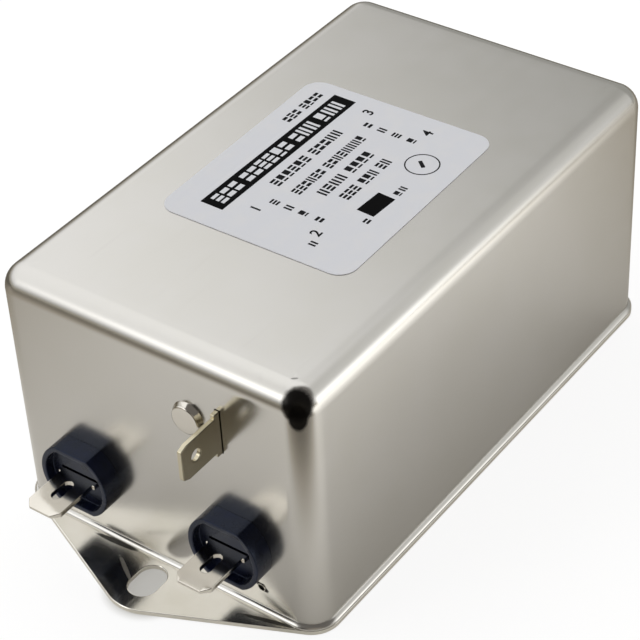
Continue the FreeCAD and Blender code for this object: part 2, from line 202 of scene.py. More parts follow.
class Skin:
    """Patches of surface that are gathered, welded at their seams and made one closed mesh."""

    def __init__(self):
        self.points = []
        self.faces = []
        self.count = 0

    def add(self, points, faces):
        """Adds points, in millimetres, and faces that count from the first of them."""
        self.points.append(np.asarray(points, float).reshape(-1, 3))
        self.faces += (np.asarray(faces) + self.count).tolist()
        self.count += len(self.points[-1])

    def grid(self, points, wrap=True, drop=None):
        """A grid of rows by columns as quads. wrap joins the last column to the first, and drop masks
        the quads to leave out."""
        rows, columns = points.shape[:2]
        index = np.arange(rows * columns).reshape(rows, columns)
        if wrap:
            index = np.hstack([index, index[:, :1]])
        quads = np.stack([index[:-1, :-1], index[:-1, 1:], index[1:, 1:], index[1:, :-1]], axis=-1)
        if drop is not None:
            quads = quads[~drop]
        self.add(points, quads.reshape(-1, 4))

    def fill(self, loops, place, spacing=0.0, extra=None):
        """The flat area between loops, cut into triangles on a lattice of points; place turns the flat
        points into space."""
        flat = list(loops)
        edges, first = [], 0
        for loop in loops:
            step = np.arange(len(loop))
            edges += np.stack([first + step, first + np.roll(step, -1)], axis=1).tolist()
            first += len(loop)
        if spacing:
            low, high = loops[0].min(axis=0), loops[0].max(axis=0)
            counts = np.maximum(((high - low) / spacing).astype(int), 1) + 1
            ticks = [np.linspace(a, b, n) for a, b, n in zip(low, high, counts)]
            extra = np.stack(np.meshgrid(*ticks), axis=-1).reshape(-1, 2)
        if extra is not None:
            kept = extra[inside(extra, loops)]
            border = np.vstack(loops)
            gap = np.sqrt(((kept[:, None] - border[None]) ** 2).sum(axis=-1)).min(axis=1)
            flat.append(kept[gap > 0.35 * (spacing or CAN_SPACING)])
        coordinates = [Vector(point) for point in np.vstack(flat).tolist()]
        found, _, faces, *_ = delaunay_2d_cdt(coordinates, edges, [], 0, 1e-7)
        found = np.array(found)
        faces = np.array(faces)
        faces = faces[inside(found[faces].mean(axis=1), loops)]
        self.add(place(found), faces)

    def sheet(self, loops, low, high, edge, place, spacing=0.0, steps=3):
        """A flat sheet between two heights. A quarter-round edge profile is carried along each loop,
        pulled in along its way out, and both faces are filled. place maps (u, v, height) into space."""
        angle = np.linspace(0, math.pi / 2, steps + 1)
        inset = np.concatenate([edge * (1 - np.sin(angle)), edge * (1 - np.cos(angle))])
        height = np.concatenate([high - edge * (1 - np.cos(angle)), low + edge * (1 - np.sin(angle))])
        for points, ways in loops:
            ring = points[None] - inset[:, None, None] * ways[None]
            lift = np.broadcast_to(height[:, None], ring.shape[:2])
            self.grid(place(ring.reshape(-1, 2), lift.ravel()).reshape(*ring.shape[:2], 3))
        inner = [points - edge * ways for points, ways in loops]
        for face in (high, low):
            self.fill(inner, lambda flat, face=face: place(flat, np.full(len(flat), face)), spacing)

    def piece(self, name, material, node=None, turned=False, sharp=35, change=None):
        """Welds the patches, points the faces outwards and makes the piece, which rides on the root."""
        points = np.vstack(self.points)
        if change is not None:
            points = change(points)
        if turned:
            points = points * np.array([-1, -1, 1])
        mesh = bpy.data.meshes.new(name)
        mesh.from_pydata((points * MM).tolist(), [], self.faces)
        work = bmesh.new()
        work.from_mesh(mesh)
        bmesh.ops.remove_doubles(work, verts=work.verts, dist=2e-3 * MM)
        bmesh.ops.dissolve_degenerate(work, edges=work.edges, dist=1e-4 * MM)
        bmesh.ops.recalc_face_normals(work, faces=work.faces)
        work.to_mesh(mesh)
        work.free()
        mesh.shade_smooth()
        mesh.set_sharp_from_angle(angle=math.radians(sharp))
        mesh.materials.append(material)
        made = bpy.data.objects.new(name, mesh)
        bpy.context.scene.collection.objects.link(made)
        weighted = made.modifiers.new("even_shading", "WEIGHTED_NORMAL")
        weighted.keep_sharp = True
        weighted.weight = 100
        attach(made, "root")
        if node:
            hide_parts(node)
        return made


def level(flat, height):
    """Places a flat point in the XY plane at a height."""
    return np.column_stack([flat, height])


# Shader trees

# Size of the tears along the border of a dark mark, in millimetres
TEAR = 0.6


class Wire:
    """One output socket of a material's tree. Arithmetic on it adds Math nodes."""

    def __init__(self, tree, socket):
        self.tree = tree
        self.socket = socket

    def math(self, operation, first, second):
        """One Math node."""
        return self.tree.node("ShaderNodeMath", {"operation": operation}, {0: first, 1: second})

    def __add__(self, other):
        return self.math("ADD", self, other)

    __radd__ = __add__

    def __sub__(self, other):
        return self.math("SUBTRACT", self, other)

    def __rsub__(self, other):
        return self.math("SUBTRACT", other, self)

    def __mul__(self, other):
        return self.math("MULTIPLY", self, other)

    __rmul__ = __mul__


class Tree:
    """The node tree of a material or a world."""

    def __init__(self, owner):
        owner.use_nodes = True
        self.nodes = owner.node_tree.nodes
        self.links = owner.node_tree.links
        self.nodes.clear()

    def node(self, kind, settings=None, inputs=None, output=0):
        """Adds a node: its settings first, then the values or links of its sockets. output names the
        socket to go on with, and None is for a node that ends the tree."""
        made = self.nodes.new(kind)
        for key, value in (settings or {}).items():
            if key == "stops":
                stops = made.color_ramp.elements
                while len(stops) < len(value):
                    stops.new(1.0)
                for stop, (place, shade) in zip(stops, value):
                    stop.position = place
                    stop.color = (*shade, 1.0) if isinstance(shade, tuple) else (shade, shade, shade, 1.0)
            else:
                setattr(made, key, value)
        for key, value in (inputs or {}).items():
            if isinstance(value, Wire):
                self.links.new(value.socket, made.inputs[key])
            else:
                made.inputs[key].default_value = value
        return None if output is None else Wire(self, made.outputs[output])

    def place(self, scale=(1, 1, 1), turn=(0, 0, 0)):
        """Object coordinates, stretched and turned."""
        seat = self.node("ShaderNodeTexCoord", output="Object")
        return self.node("ShaderNodeMapping", inputs={"Vector": seat, "Scale": scale, "Rotation": turn})

    def noise(self, size, detail=3.0, stretch=(1, 1, 1), roughness=0.5, turn=(0, 0, 0)):
        """Noise about 0.5 whose lumps are about size millimetres across."""
        seat = self.place(stretch, turn)
        return self.node("ShaderNodeTexNoise", inputs={
            "Vector": seat, "Scale": 1 / (size * MM), "Detail": detail, "Roughness": roughness})

    def spot(self, centre, size, turn=(0, 0, 0), ragged=0.6):
        """One inside an ellipsoid given by its middle and half sizes in millimetres, and nought outside.
        It fades over its outer third, along a border that noise makes ragged."""
        seat = self.node("ShaderNodeTexCoord", output="Object")
        torn = self.node("ShaderNodeTexNoise", inputs={
            "Vector": seat, "Scale": 1 / (TEAR * MM), "Detail": 3.0})
        held = self.node("ShaderNodeMapping", {"vector_type": "TEXTURE"}, {
            "Vector": seat, "Location": tuple(v * MM for v in centre), "Rotation": turn,
            "Scale": tuple(v * MM for v in size)})
        reach = self.node("ShaderNodeVectorMath", {"operation": "LENGTH"}, {0: held}, output="Value")
        return self.ramp(reach + (torn - 0.5) * ragged, 0.68, 1.0, 1.0, 0.0)

    def ramp(self, value, low, high, start=0.0, end=1.0):
        """A value carried smoothly from one range to another."""
        return self.node("ShaderNodeMapRange", {"interpolation_type": "SMOOTHSTEP"}, {
            "Value": value, "From Min": low, "From Max": high, "To Min": start, "To Max": end})

    def absolute(self, value):
        """A value without its sign."""
        return self.node("ShaderNodeMath", {"operation": "ABSOLUTE"}, {0: value})

    def mix(self, share, first, second):
        """A colour between two colours."""
        return self.node("ShaderNodeMix", {"data_type": "RGBA"}, {0: share, 6: first, 7: second}, output=2)

    def bump(self, height, depth, before=None):
        """A bump of a height field that is depth millimetres deep."""
        inputs = {"Height": height, "Distance": depth * MM, "Strength": 1.0}
        if before is not None:
            inputs["Normal"] = before
        return self.node("ShaderNodeBump", inputs=inputs)

    def finish(self, shader, kind="ShaderNodeOutputMaterial"):
        """Ends the tree with its output node."""
        self.node(kind, inputs={"Surface": shader}, output=None)


def finish_of(name):
    """An empty material and its tree."""
    material = bpy.data.materials.new(name)
    return material, Tree(material)


def colour(r, g, b):
    """A shader colour from its 0 to 255 values as seen, made linear."""
    seen = np.array([r, g, b]) / 255
    linear = np.where(seen <= 0.04045, seen / 12.92, ((seen + 0.055) / 1.055) ** 2.4)
    return (*linear.tolist(), 1.0)


# The dark of the marks: tarnish where a mark is wear, painted shade and reflection where it stands for light
TARNISH_AND_PAINTED_SHADE = (0.012, 0.011, 0.010, 1)


def plated_metal(name, shade, deep, rough, grain, wave, wear=0.3, marks=()):
    """Bright metal plating on rolled sheet: a slow wave in the sheet, fine rolled grain along X, faint
    cloudy patches of tone and roughness, and hair scratches. Marks are dark spots of wear and of painted
    shade and reflection: middle, half sizes, turn, depth and raggedness of each. A ragged mark is rough, too."""
    material, tree = finish_of(name)
    cloud = tree.noise(14, 2)
    patch = tree.noise(4.0, 4)
    grain_lines = tree.noise(0.35, 2, (0.06, 1, 1))
    hair = tree.ramp(tree.noise(0.5, 0, (0.04, 1, 1), turn=(0, 0, 0.5)), 0.72, 0.76)
    share = tree.ramp(cloud * 0.7 + patch * 0.3, 0.35, 0.65)
    base = tree.mix(share, deep, shade)
    roughness = rough + (patch - 0.5) * 0.05 + (grain_lines - 0.5) * 0.03 + hair * wear * 0.15
    height = grain_lines + hair * wear
    for centre, size, turn, depth, ragged in marks:
        mark = tree.spot(centre, size, turn, ragged)
        base = tree.mix(mark * depth, base, TARNISH_AND_PAINTED_SHADE)
        roughness = roughness + mark * (0.5 * ragged)
    swell = tree.bump(tree.noise(22, 1), wave)
    normal = tree.bump(height, grain, swell)
    shader = tree.node("ShaderNodeBsdfPrincipled", inputs={
        "Metallic": 1.0, "Base Color": base, "Roughness": roughness, "Normal": normal})
    tree.finish(shader)
    return material


def moulded_plastic(name, shade, pale, rough, grain, gloss=0.5, sheen=(1, 1, 1, 1)):
    """Moulded plastic, film or ink: fine grain, and a faint bloom in soft patches that are a little
    paler and rougher."""
    material, tree = finish_of(name)
    bloom = tree.ramp(tree.noise(3.0, 4), 0.4, 0.75)
    base = tree.mix(bloom, shade, pale)
    fine = tree.noise(0.12, 2)
    roughness = rough + bloom * 0.08 + (fine - 0.5) * 0.05
    normal = tree.bump(fine, grain)
    shader = tree.node("ShaderNodeBsdfPrincipled", inputs={
        "Base Color": base, "Roughness": roughness, "Normal": normal,
        "Specular IOR Level": gloss, "Specular Tint": sheen})
    tree.finish(shader)
    return material


# Marks on the can: wear, the smear at the vent and a nick in the top, and a painted dark reflection on the
# near corner, in two parts
can_wear_and_painted_reflection = [
    ((-HALF_LENGTH, VENT_Y - 0.15, VENT_Z + 0.1), (0.5, 1.45, 0.7), (0.55, 0, 0), 0.98, 0.6),
    ((-43.0, -23.9, TOP), (0.6, 0.24, 0.5), (0, 0, -0.9), 0.5, 0.3),
    # Painted reflection: the dark blob on the near top corner, its upper and lower part
    ((-46.0, -26.35, 43.5), (3.1, 2.7, 3.0), (0, 0, 0.56), 0.97, 0.16),
    ((-46.2, -26.60, 41.6), (2.0, 1.6, 2.6), (0, 0, 0.64), 0.97, 0.16),
]
# Dark streaks on the ear: two along the rim and a faint one across
plate_marks = [
    ((-48.0, 9.2, PLATE), (4.6, 0.55, 0.5), (0, 0, -1.52), 0.9, 0.2),
    ((-48.5, -20.5, PLATE), (5.5, 0.45, 0.5), (0, 0, -1.32), 0.85, 0.15),
    ((-51.7, 4.5, PLATE), (3.6, 0.4, 0.5), (0, 0, -2.16), 0.25, 0.5),
]
# Painted shade: the earth tab's outer face is darker than its edges
tab_painted_shade = [((-51.5, TAB_Y - 0.45, TAB_Z), (9.0, 0.25, 7.0), (0, 0, 0), 0.42, 0.0)]

can_finish = plated_metal(
    "nickel_plated_can", colour(197, 195, 191), colour(195, 193, 188), 0.21, 0.00025, 0.0008, 0.15, can_wear_and_painted_reflection)
plate_finish = plated_metal(
    "nickel_plated_plate", colour(236, 233, 225), colour(226, 223, 213), 0.13, 0.0006, 0.0015, 0.3,
    plate_marks)
blade_finish = plated_metal(
    "tinned_blade", colour(214, 210, 201), colour(202, 197, 187), 0.14, 0.0006, 0.002)
# Painted shade: the tab's tin is the blades' tin made darker and yellower
tab_finish = plated_metal(
    "tinned_tab_painted_darker", colour(192, 185, 165), colour(180, 172, 148), 0.16, 0.0006, 0.002, 0.3, tab_painted_shade)
rivet_finish = plated_metal(
    "plated_rivet_head", colour(206, 202, 194), colour(196, 192, 184), 0.1, 0.0005, 0.002)
cup_finish = moulded_plastic(
    "blue_black_moulding", colour(5, 7, 23), colour(12, 17, 43), 0.27, 0.0014, 0.45, (0.55, 0.68, 1.0, 1))
film_finish = moulded_plastic("label_film", colour(209, 211, 217), colour(212, 213, 217), 0.45, 0.0008)
black_ink = moulded_plastic("black_ink", colour(3, 3, 4), colour(8, 8, 9), 0.6, 0.0004, 0.04)
grey_ink = moulded_plastic("grey_ink", colour(13, 14, 17), colour(24, 25, 29), 0.6, 0.0004, 0.08)

# Finishes of the pieces inside, by material slot of the solids. They keep the solids' meshes.
inner_finishes = {
    "tinned_wire": plated_metal(
        "tinned_wire", colour(214, 212, 206), colour(196, 193, 186), 0.25, 0.001, 0.002),
    "fibre_card": moulded_plastic("insulating_card", colour(178, 170, 148), colour(190, 183, 162), 0.8, 0.01),
    "board_laminate": moulded_plastic(
        "board_laminate", colour(190, 172, 116), colour(180, 160, 100), 0.5, 0.003),
    "ferrite": moulded_plastic("dark_ferrite", colour(66, 66, 68), colour(80, 79, 80), 0.6, 0.01),
    "divider_plastic": moulded_plastic(
        "divider_moulding", colour(226, 224, 216), colour(214, 211, 200), 0.5, 0.003),
    "copper_winding": plated_metal(
        "enamelled_copper", colour(196, 120, 72), colour(170, 92, 50), 0.28, 0.001, 0.002),
    "capacitor_box": moulded_plastic(
        "capacitor_box", colour(208, 188, 110), colour(216, 198, 128), 0.4, 0.003),
    "capacitor_disc": moulded_plastic("dipped_disc", colour(82, 128, 178), colour(98, 140, 186), 0.35, 0.003),
    "resistor_body": moulded_plastic(
        "lacquered_body", colour(186, 170, 140), colour(200, 186, 158), 0.35, 0.003),
    "potting_resin": moulded_plastic("cast_resin", colour(58, 58, 60), colour(70, 70, 72), 0.45, 0.006),
}
for row in frame["record"]["subparts"]:
    if row["material_slot"] in inner_finishes:
        frame["nodes"][row["node"]].data.materials[0] = inner_finishes[row["material_slot"]]


def wall_holes(load):
    """The loops of the holes in an end wall, in (y, z): two for the terminals' necks, and at the line
    end the slit of the earth tab, the rivet's hole and the vent."""
    loops = []
    turn = np.linspace(0, 2 * math.pi, 48, endpoint=False)
    for side in (-1, 1):
        loops.append(flatted(side * TERMINAL_Y, TERMINAL_Z, NECK_RADIUS + 0.05, NECK_FLAT + 0.05, 0.3, turn))
    if not load:
        loops.append(trace(arcs_at(rectangle(TAB_Y, TAB_Z, 0.55, 4.05, 0.15)), 3)[0])
        loops.append(circle(RIVET_Y, TAB_Z, RIVET_SHANK)[0])
        loops.append(circle(VENT_Y, VENT_Z, VENT_RADIUS, 24)[0])
    return loops


def flatted(x, y, radius, flat, blend, turn):
    """A circle with a flat above and below: the radius at an angle is the smooth lesser of the
    circle's radius and the flat's distance over the sine."""
    reach = flat / np.maximum(np.abs(np.sin(turn)), 1e-3)
    share = np.clip(0.5 + 0.5 * (reach - radius) / blend, 0, 1)
    length = reach + (radius - reach) * share - blend * share * (1 - share)
    return np.array([x, y]) + length[..., None] * unit(turn)


def on_arc(x, height, radius, angle):
    """Points of a profile on an arc: distance out of the wall and height."""
    return np.array([x, height]) + radius * unit(angle)


def can_profile():
    """The rows of the can's profile (distance out of the wall, height): up the outside from the rim's
    edge and over the round top edge, and back down the inside to the mouth. Also the heights between
    which the walls are flat. The rim's two arcs touch where the second starts."""
    rim_top = PLATE + SHEET
    root = np.linspace(0, math.pi / 2, 9)
    over = np.linspace(0, math.pi / 2, 15)
    edge = np.linspace(0, RIM_SHOULDER_START, 5)
    shoulder = np.linspace(RIM_SHOULDER_START, RIM_SHOULDER_END, 8)[1:]
    wall = np.linspace(rim_top + RIM_BEND, TOP - TOP_ROUND, 22)
    round_centre = (-TOP_ROUND, TOP - TOP_ROUND)
    outside = [
        on_arc(RIM_OVERHANG - RIM_FOOT, PLATE + RIM_FOOT, RIM_FOOT, root - math.pi / 2),
        on_arc(RIM_OVERHANG - RIM_EDGE, RIM_EDGE_HEIGHT, RIM_EDGE, edge),
        on_arc(-RIM_SHOULDER_IN, RIM_SHOULDER_HEIGHT, RIM_SHOULDER, shoulder),
        np.array([[RIM_GROOVE, rim_top]]),
        on_arc(RIM_GROOVE, rim_top + RIM_GROOVE, RIM_GROOVE, -math.pi / 2 - root[1:]),
        np.array([[0, 0.5 * (rim_top + wall[0])], [0, wall[0]]]),
        np.column_stack([np.zeros(20), wall[1:-1]]),
        on_arc(*round_centre, TOP_ROUND, over),
    ]
    within = [
        on_arc(*round_centre, TOP_ROUND - SHEET, over[::-1]),
        np.column_stack([np.full(20, -SHEET), wall[1:-1][::-1]]),
        on_arc(RIM_BEND, rim_top + RIM_BEND, RIM_BEND + SHEET, root + math.pi),
        np.array([[RIM_OVERHANG - RIM_FOOT, PLATE]]),
    ]
    return np.vstack(outside), np.vstack(within), wall[0], wall[-1]


def drawn_can():
    """One sheet drawn into a can: its profile carried round a rectangle with round corners. The flat
    top runs on to the middle line. The end walls are filled flat round their holes, and a tube joins
    the two sides of each hole."""
    corners = rectangle(0, 0, HALF_LENGTH, HALF_WIDTH, CORNER)
    path, way = trace(arcs_at(corners), 12, CAN_SPACING)
    outside, within, wall_foot, wall_head = can_profile()
    skin = Skin()
    sides = np.isclose(np.abs(way[:, 0]), 1)
    across = sides & np.roll(sides, -1) & np.isclose(way[:, 0], np.roll(way[:, 0], -1))
    walls = {}
    for label, rows, depth in (("outer", outside, 0.0), ("inner", within, SHEET)):
        ring = path[None] + rows[:, None, :1] * way[None]
        height = np.broadcast_to(rows[:, 1:, None], (*ring.shape[:2], 1))
        points = np.concatenate([ring, height], axis=-1)
        flat_rows = (rows[:, 1] > wall_foot - 1e-6) & (rows[:, 1] < wall_head + 1e-6)
        flat_rows &= np.isclose(rows[:, 0], -depth)
        pairs = flat_rows[:-1] & flat_rows[1:]
        skin.grid(points, drop=pairs[:, None] & across[None])
        walls[label] = np.unique(np.round(rows[flat_rows, 1], 6))
        start = points[-1] if label == "outer" else points[0]
        share = np.linspace(0, 1, 13)[:, None, None]
        spine = np.stack([np.clip(start[:, 0], -(HALF_LENGTH - HALF_WIDTH), HALF_LENGTH - HALF_WIDTH),
                          np.zeros(len(start)), start[:, 2]], axis=-1)
        skin.grid(start[None] * (1 - share) + spine[None] * share)
    columns = np.unique(np.round(path[np.isclose(way[:, 0], 1), 1], 6))
    for side in (-1, 1):
        holes = wall_holes(side > 0)
        for label, depth in (("outer", 0.0), ("inner", SHEET)):
            heights = walls[label]
            border = np.vstack([
                np.column_stack([columns, np.full(len(columns), heights[0])]),
                np.column_stack([np.full(len(heights) - 1, columns[-1]), heights[1:]]),
                np.column_stack([columns[-2::-1], np.full(len(columns) - 1, heights[-1])]),
                np.column_stack([np.full(len(heights) - 2, columns[0]), heights[-2:0:-1]]),
            ])
            lattice = np.stack(np.meshgrid(columns, heights), axis=-1).reshape(-1, 2)
            x = side * (HALF_LENGTH - depth)
            skin.fill([border] + holes, lambda flat, x=x: np.column_stack([np.full(len(flat), x), flat]),
                      extra=lattice)
        for loop in holes:
            x = side * (HALF_LENGTH - np.linspace(0, SHEET, 4))
            tube = np.stack([np.broadcast_to(x[:, None], (4, len(loop))),
                             np.broadcast_to(loop[None, :, 0], (4, len(loop))),
                             np.broadcast_to(loop[None, :, 1], (4, len(loop)))], axis=-1)
            skin.grid(tube)
    return skin.piece("drawn_can", can_finish, "case_can", change=sag)


def sag(points):
    """The slight hollows of a drawn can: the long walls and the top bend in by a tenth of a millimetre
    at most, as a product of squared cosines."""
    x, y, z = points.T
    along = np.cos(np.clip(x / (HALF_LENGTH - 4), -1, 1) * math.pi / 2)
    across = np.cos(np.clip(y / (HALF_WIDTH - 4), -1, 1) * math.pi / 2)
    up = np.cos(np.clip((z - 22) / 20, -1, 1) * math.pi / 2)
    high = np.clip((z - (TOP - TOP_ROUND)) / TOP_ROUND, 0, 1)
    sink = TOP_SAG * along ** 2 * across ** 2 * high
    push = WALL_SAG * along ** 2 * up ** 2 * (np.abs(y) > HALF_WIDTH - 2)
    return np.column_stack([x, y - np.sign(y) * push, z - sink])


def eared_plate():
    """The base plate: straight sides that touch the corner arcs and the ears' round tips, with a slot
    in each ear. A side that touches two circles faces at a quarter turn from the line through their
    centres, plus the angle whose sine is the radii's difference over the centres' distance."""
    corner = CORNER + RIM_OVERHANG
    corner_x, corner_y, tip_x = HALF_LENGTH - CORNER, HALF_WIDTH - CORNER, EAR_TIP - EAR_RADIUS
    run = math.hypot(tip_x - corner_x, corner_y)
    quarter = math.pi / 2
    slope = quarter - math.atan2(corner_y, tip_x - corner_x) + math.asin((EAR_RADIUS - corner) / run)
    arcs = [
        (tip_x, 0, EAR_RADIUS, -slope, slope),
        (corner_x, corner_y, corner, slope, quarter),
        (-corner_x, corner_y, corner, quarter, 2 * quarter - slope),
        (-tip_x, 0, EAR_RADIUS, 2 * quarter - slope, 2 * quarter + slope),
        (-corner_x, -corner_y, corner, 2 * quarter + slope, 3 * quarter),
        (corner_x, -corner_y, corner, 3 * quarter, 4 * quarter - slope),
    ]
    loops = [trace(arcs, 14, 3.0)]
    for side in (-1, 1):
        slot = rectangle(side * SLOT_CENTRE, 0, SLOT_LENGTH / 2, SLOT_WIDTH / 2, SLOT_WIDTH / 2 - 0.001)
        loops.append(hole(trace(arcs_at(slot), 9, 1.0)))
    skin = Skin()
    skin.sheet(loops, 0.0, PLATE, PLATE_EDGE, level, 4.0)
    return skin.piece("eared_plate", plate_finish, "base_plate", sharp=12)


def terminal_cup(end, side, y):
    """A terminal's insulator. Each station of the profile is a flatted circle of its own radius, flat
    and x: neck, flange against the wall, cup wall, ring and recess. The recess and the neck's end are
    filled round the blade's slot, and the slot's sides join them."""
    front = HALF_LENGTH + CUP_REACH
    bottom = front - CUP_RECESS
    bend = np.linspace(0, math.pi / 2, 5)
    rise, fall = CUP_ROUND * np.sin(bend), CUP_ROUND * (1 - np.cos(bend))
    lip = CUP_WALL - CUP_ROUND

    def rounded(x, inset):
        """Stations along a rounded edge, each as far inside the cup's outline as inset says."""
        return list(zip(x, CUP_RADIUS - inset, CUP_FLAT - inset))

    stations = [
        (NECK_END, NECK_RADIUS - 0.2, NECK_FLAT - 0.2),
        (NECK_END + 0.2, NECK_RADIUS, NECK_FLAT),
        (HALF_LENGTH - 0.06, NECK_RADIUS, NECK_FLAT),
        (HALF_LENGTH - 0.06, CUP_RADIUS - 0.1, CUP_FLAT - 0.1),
        (HALF_LENGTH + 0.04, CUP_RADIUS, CUP_FLAT),
    ]
    stations += rounded(front - CUP_ROUND + rise, fall)
    stations += rounded(front - fall, lip + rise)
    stations += rounded(bottom + CUP_ROUND - rise, CUP_WALL + fall)
    turn = np.linspace(0, 2 * math.pi, CUP_STEPS, endpoint=False)
    skin = Skin()
    rings = []
    for x, radius, flat in stations:
        ring = flatted(y, TERMINAL_Z, radius, flat, 0.05, turn)
        rings.append(np.column_stack([np.full(len(ring), -x), ring]))
    skin.grid(np.array(rings))
    slot = trace(arcs_at(rectangle(y, TERMINAL_Z + 0.12, SHOULDER_HALF + 0.12, 0.56, 0.1)), 3)[0]
    for x, ring in ((NECK_END, rings[0]), (bottom, rings[-1])):
        skin.fill([ring[:, 1:], slot], lambda flat, x=x: np.column_stack([np.full(len(flat), -x), flat]))
    depth = -np.linspace(bottom, NECK_END, 6)
    skin.grid(np.stack([np.broadcast_to(depth[:, None], (6, len(slot))),
                        np.broadcast_to(slot[None, :, 0], (6, len(slot))),
                        np.broadcast_to(slot[None, :, 1], (6, len(slot)))], axis=-1))
    return skin.piece(f"{end}_terminal_cup_{side}", cup_finish,
                      f"{end}_insulator_{side}", turned=end == "load", sharp=19)


def terminal_blade(end, side, y):
    """A flat blade: chamfered tip that is pressed thinner, slot, shoulders and a soldering tail with
    its hole."""
    tip = HALF_LENGTH + BLADE_REACH
    shoulder = HALF_LENGTH + CUP_REACH - CUP_RECESS + 1.0
    corners = [
        (-tip, y - BLADE_HALF + 1.1, 0.25), (-tip + 1.25, y - BLADE_HALF, 0.25),
        (-shoulder, y - BLADE_HALF, 0.06), (-shoulder, y - SHOULDER_HALF, 0.15),
        (-NECK_END, y - SHOULDER_HALF, 0.15), (-NECK_END, y - TAIL_HALF, 0.06),
        (-TAIL_END, y - TAIL_HALF, 0.2),
    ]
    corners += [(x, 2 * y - v, r) for x, v, r in reversed(corners)]
    slot = arcs_at(rectangle(-(HALF_LENGTH + 5.9), y, 2.1, 0.85, 0.849))
    loops = [trace(arcs_at(corners), 4, 1.0), hole(trace(slot, 6, 1.0)), hole(circle(-41.2, y, 0.85))]
    skin = Skin()
    half = BLADE_THICKNESS / 2
    skin.sheet(loops, TERMINAL_Z - half, TERMINAL_Z + half, BLADE_EDGE, level, 1.2)

    def press(points):
        """Thins the tip towards the blade's middle plane."""
        x, across, z = points.T
        near_tip = np.clip((-x - (tip - 1.0)) / 1.0, 0, 1)
        return np.column_stack([x, across, TERMINAL_Z + (z - TERMINAL_Z) * (1 - 0.4 * near_tip)])

    return skin.piece(f"{end}_terminal_blade_{side}", blade_finish, f"{end}_blade_{side}",
                      turned=end == "load", sharp=12, change=press)


def earth_blade():
    """The earth tab: a flat blank, bent a quarter turn behind the wall. u runs from the tip along the
    blank, v is across it and w through it; past the straight part u turns about the bend's centre."""
    straight = TAB_TIP - (HALF_LENGTH - SHEET)
    bend_radius = 0.4
    arc = bend_radius * math.pi / 2
    end = straight + arc + 8.8
    corners = [
        (0, -BLADE_HALF + 0.55, 0.3), (1.35, -BLADE_HALF, 0.3),
        (straight - 2.0, -BLADE_HALF, 0.08), (straight - 2.0, -3.9, 0.2), (end, -3.9, 0.3),
    ]
    corners += [(u, -v, r) for u, v, r in reversed(corners)]
    rivet_u = straight + arc + (RIVET_Y - (TAB_Y + bend_radius))
    holes = [hole(circle(3.1, 0, TAB_HOLE)), hole(circle(rivet_u, 0, RIVET_SHANK))]
    loops = [trace(arcs_at(corners), 4, 0.35)] + holes

    def bent(flat, w):
        """Straight run, quarter turn, foot."""
        u, v = flat.T
        turn = np.clip((u - straight) / bend_radius, 0, math.pi / 2)
        foot = np.maximum(u - straight - arc, 0)
        radius = np.maximum(bend_radius - w, 0.03)
        x = -(HALF_LENGTH - SHEET) - np.maximum(straight - u, 0) + radius * np.sin(turn)
        y = TAB_Y + bend_radius - radius * np.cos(turn) + foot
        return np.column_stack([x, y, TAB_Z + v])

    skin = Skin()
    skin.sheet(loops, -BLADE_THICKNESS / 2, BLADE_THICKNESS / 2, BLADE_EDGE, bent, 0.5)
    return skin.piece("earth_blade", tab_finish, "earth_tab", sharp=12)


def rivet():
    """The rivet, a profile turned about its axis: low head with a round shoulder, shank, upset end."""
    bend = np.linspace(0, math.pi / 2, 7)
    base = HALF_LENGTH - 0.03
    face = base + RIVET_HEIGHT
    upset, end, upset_radius = 45.4, 44.6, 2.3
    profile = [(face, 0.0), (face, 1.2)]
    profile += [(face - 0.35 * (1 - math.cos(a)), 2.1 + 0.35 * math.sin(a)) for a in bend]
    profile += [(base + 0.25, RIVET_HEAD - 0.08), (base, RIVET_HEAD), (base, RIVET_SHANK)]
    profile += [(upset, RIVET_SHANK), (upset, upset_radius), (end, upset_radius), (end, 0.0)]
    profile = np.array(profile)
    turn = np.linspace(0, 2 * math.pi, 64, endpoint=False)
    x = np.broadcast_to(-profile[:, :1], (len(profile), 64))
    ring = unit(turn)[None] * profile[:, 1:, None]
    points = np.concatenate([x[..., None], ring + np.array([RIVET_Y, TAB_Z])], axis=-1)
    skin = Skin()
    skin.grid(points)
    return skin.piece("earth_rivet", rivet_finish, "earth_tab_rivet")


def vent_lip():
    """The raised lip of the punched vent: a small circle carried round the hole, thicker on one side."""
    turn = np.linspace(0, 2 * math.pi, 40, endpoint=False)
    small = np.linspace(0, 2 * math.pi, 10, endpoint=False)
    thick = 0.07 + 0.05 * np.cos(turn - 2.2)
    radius = VENT_RADIUS + 0.06 + thick[:, None] * np.cos(small)[None]
    x = -HALF_LENGTH - thick[:, None] * (0.4 + np.sin(small)[None])
    y = VENT_Y + radius * np.cos(turn)[:, None]
    z = VENT_Z + radius * np.sin(turn)[:, None]
    points = np.stack([x, y, z], axis=-1)
    skin = Skin()
    skin.grid(np.concatenate([points, points[:1]]))
    return skin.piece("vent_lip", rivet_finish)


def turned_by(flat, angle):
    """Flat points turned about the origin."""
    return flat @ np.array([[math.cos(angle), math.sin(angle)], [-math.sin(angle), math.cos(angle)]])


def on_label(flat, height):
    """Places a point given from the label's middle, turned with the label, on the top of the can."""
    return np.column_stack([turned_by(flat, LABEL_TURN) + np.array([LABEL_X, LABEL_Y]), height])


def label():
    """The printed film with its round corners."""
    skin = Skin()
    loop = trace(arcs_at(rectangle(0, 0, LABEL_LENGTH / 2, LABEL_WIDTH / 2, LABEL_CORNER)), 10, 3.0)
    skin.sheet([loop], TOP - 0.03, TOP + LABEL_THICKNESS - 0.014, 0.04, on_label, 4.0)
    return skin.piece("label_film", film_finish, "rating_label")


PRINT_LOW = TOP + LABEL_THICKNESS - 0.03
PRINT_HIGH = TOP + LABEL_THICKNESS - 0.004
PRINT_EDGE = 0.004
RING_X = 8.5
RING_Y = -10.5

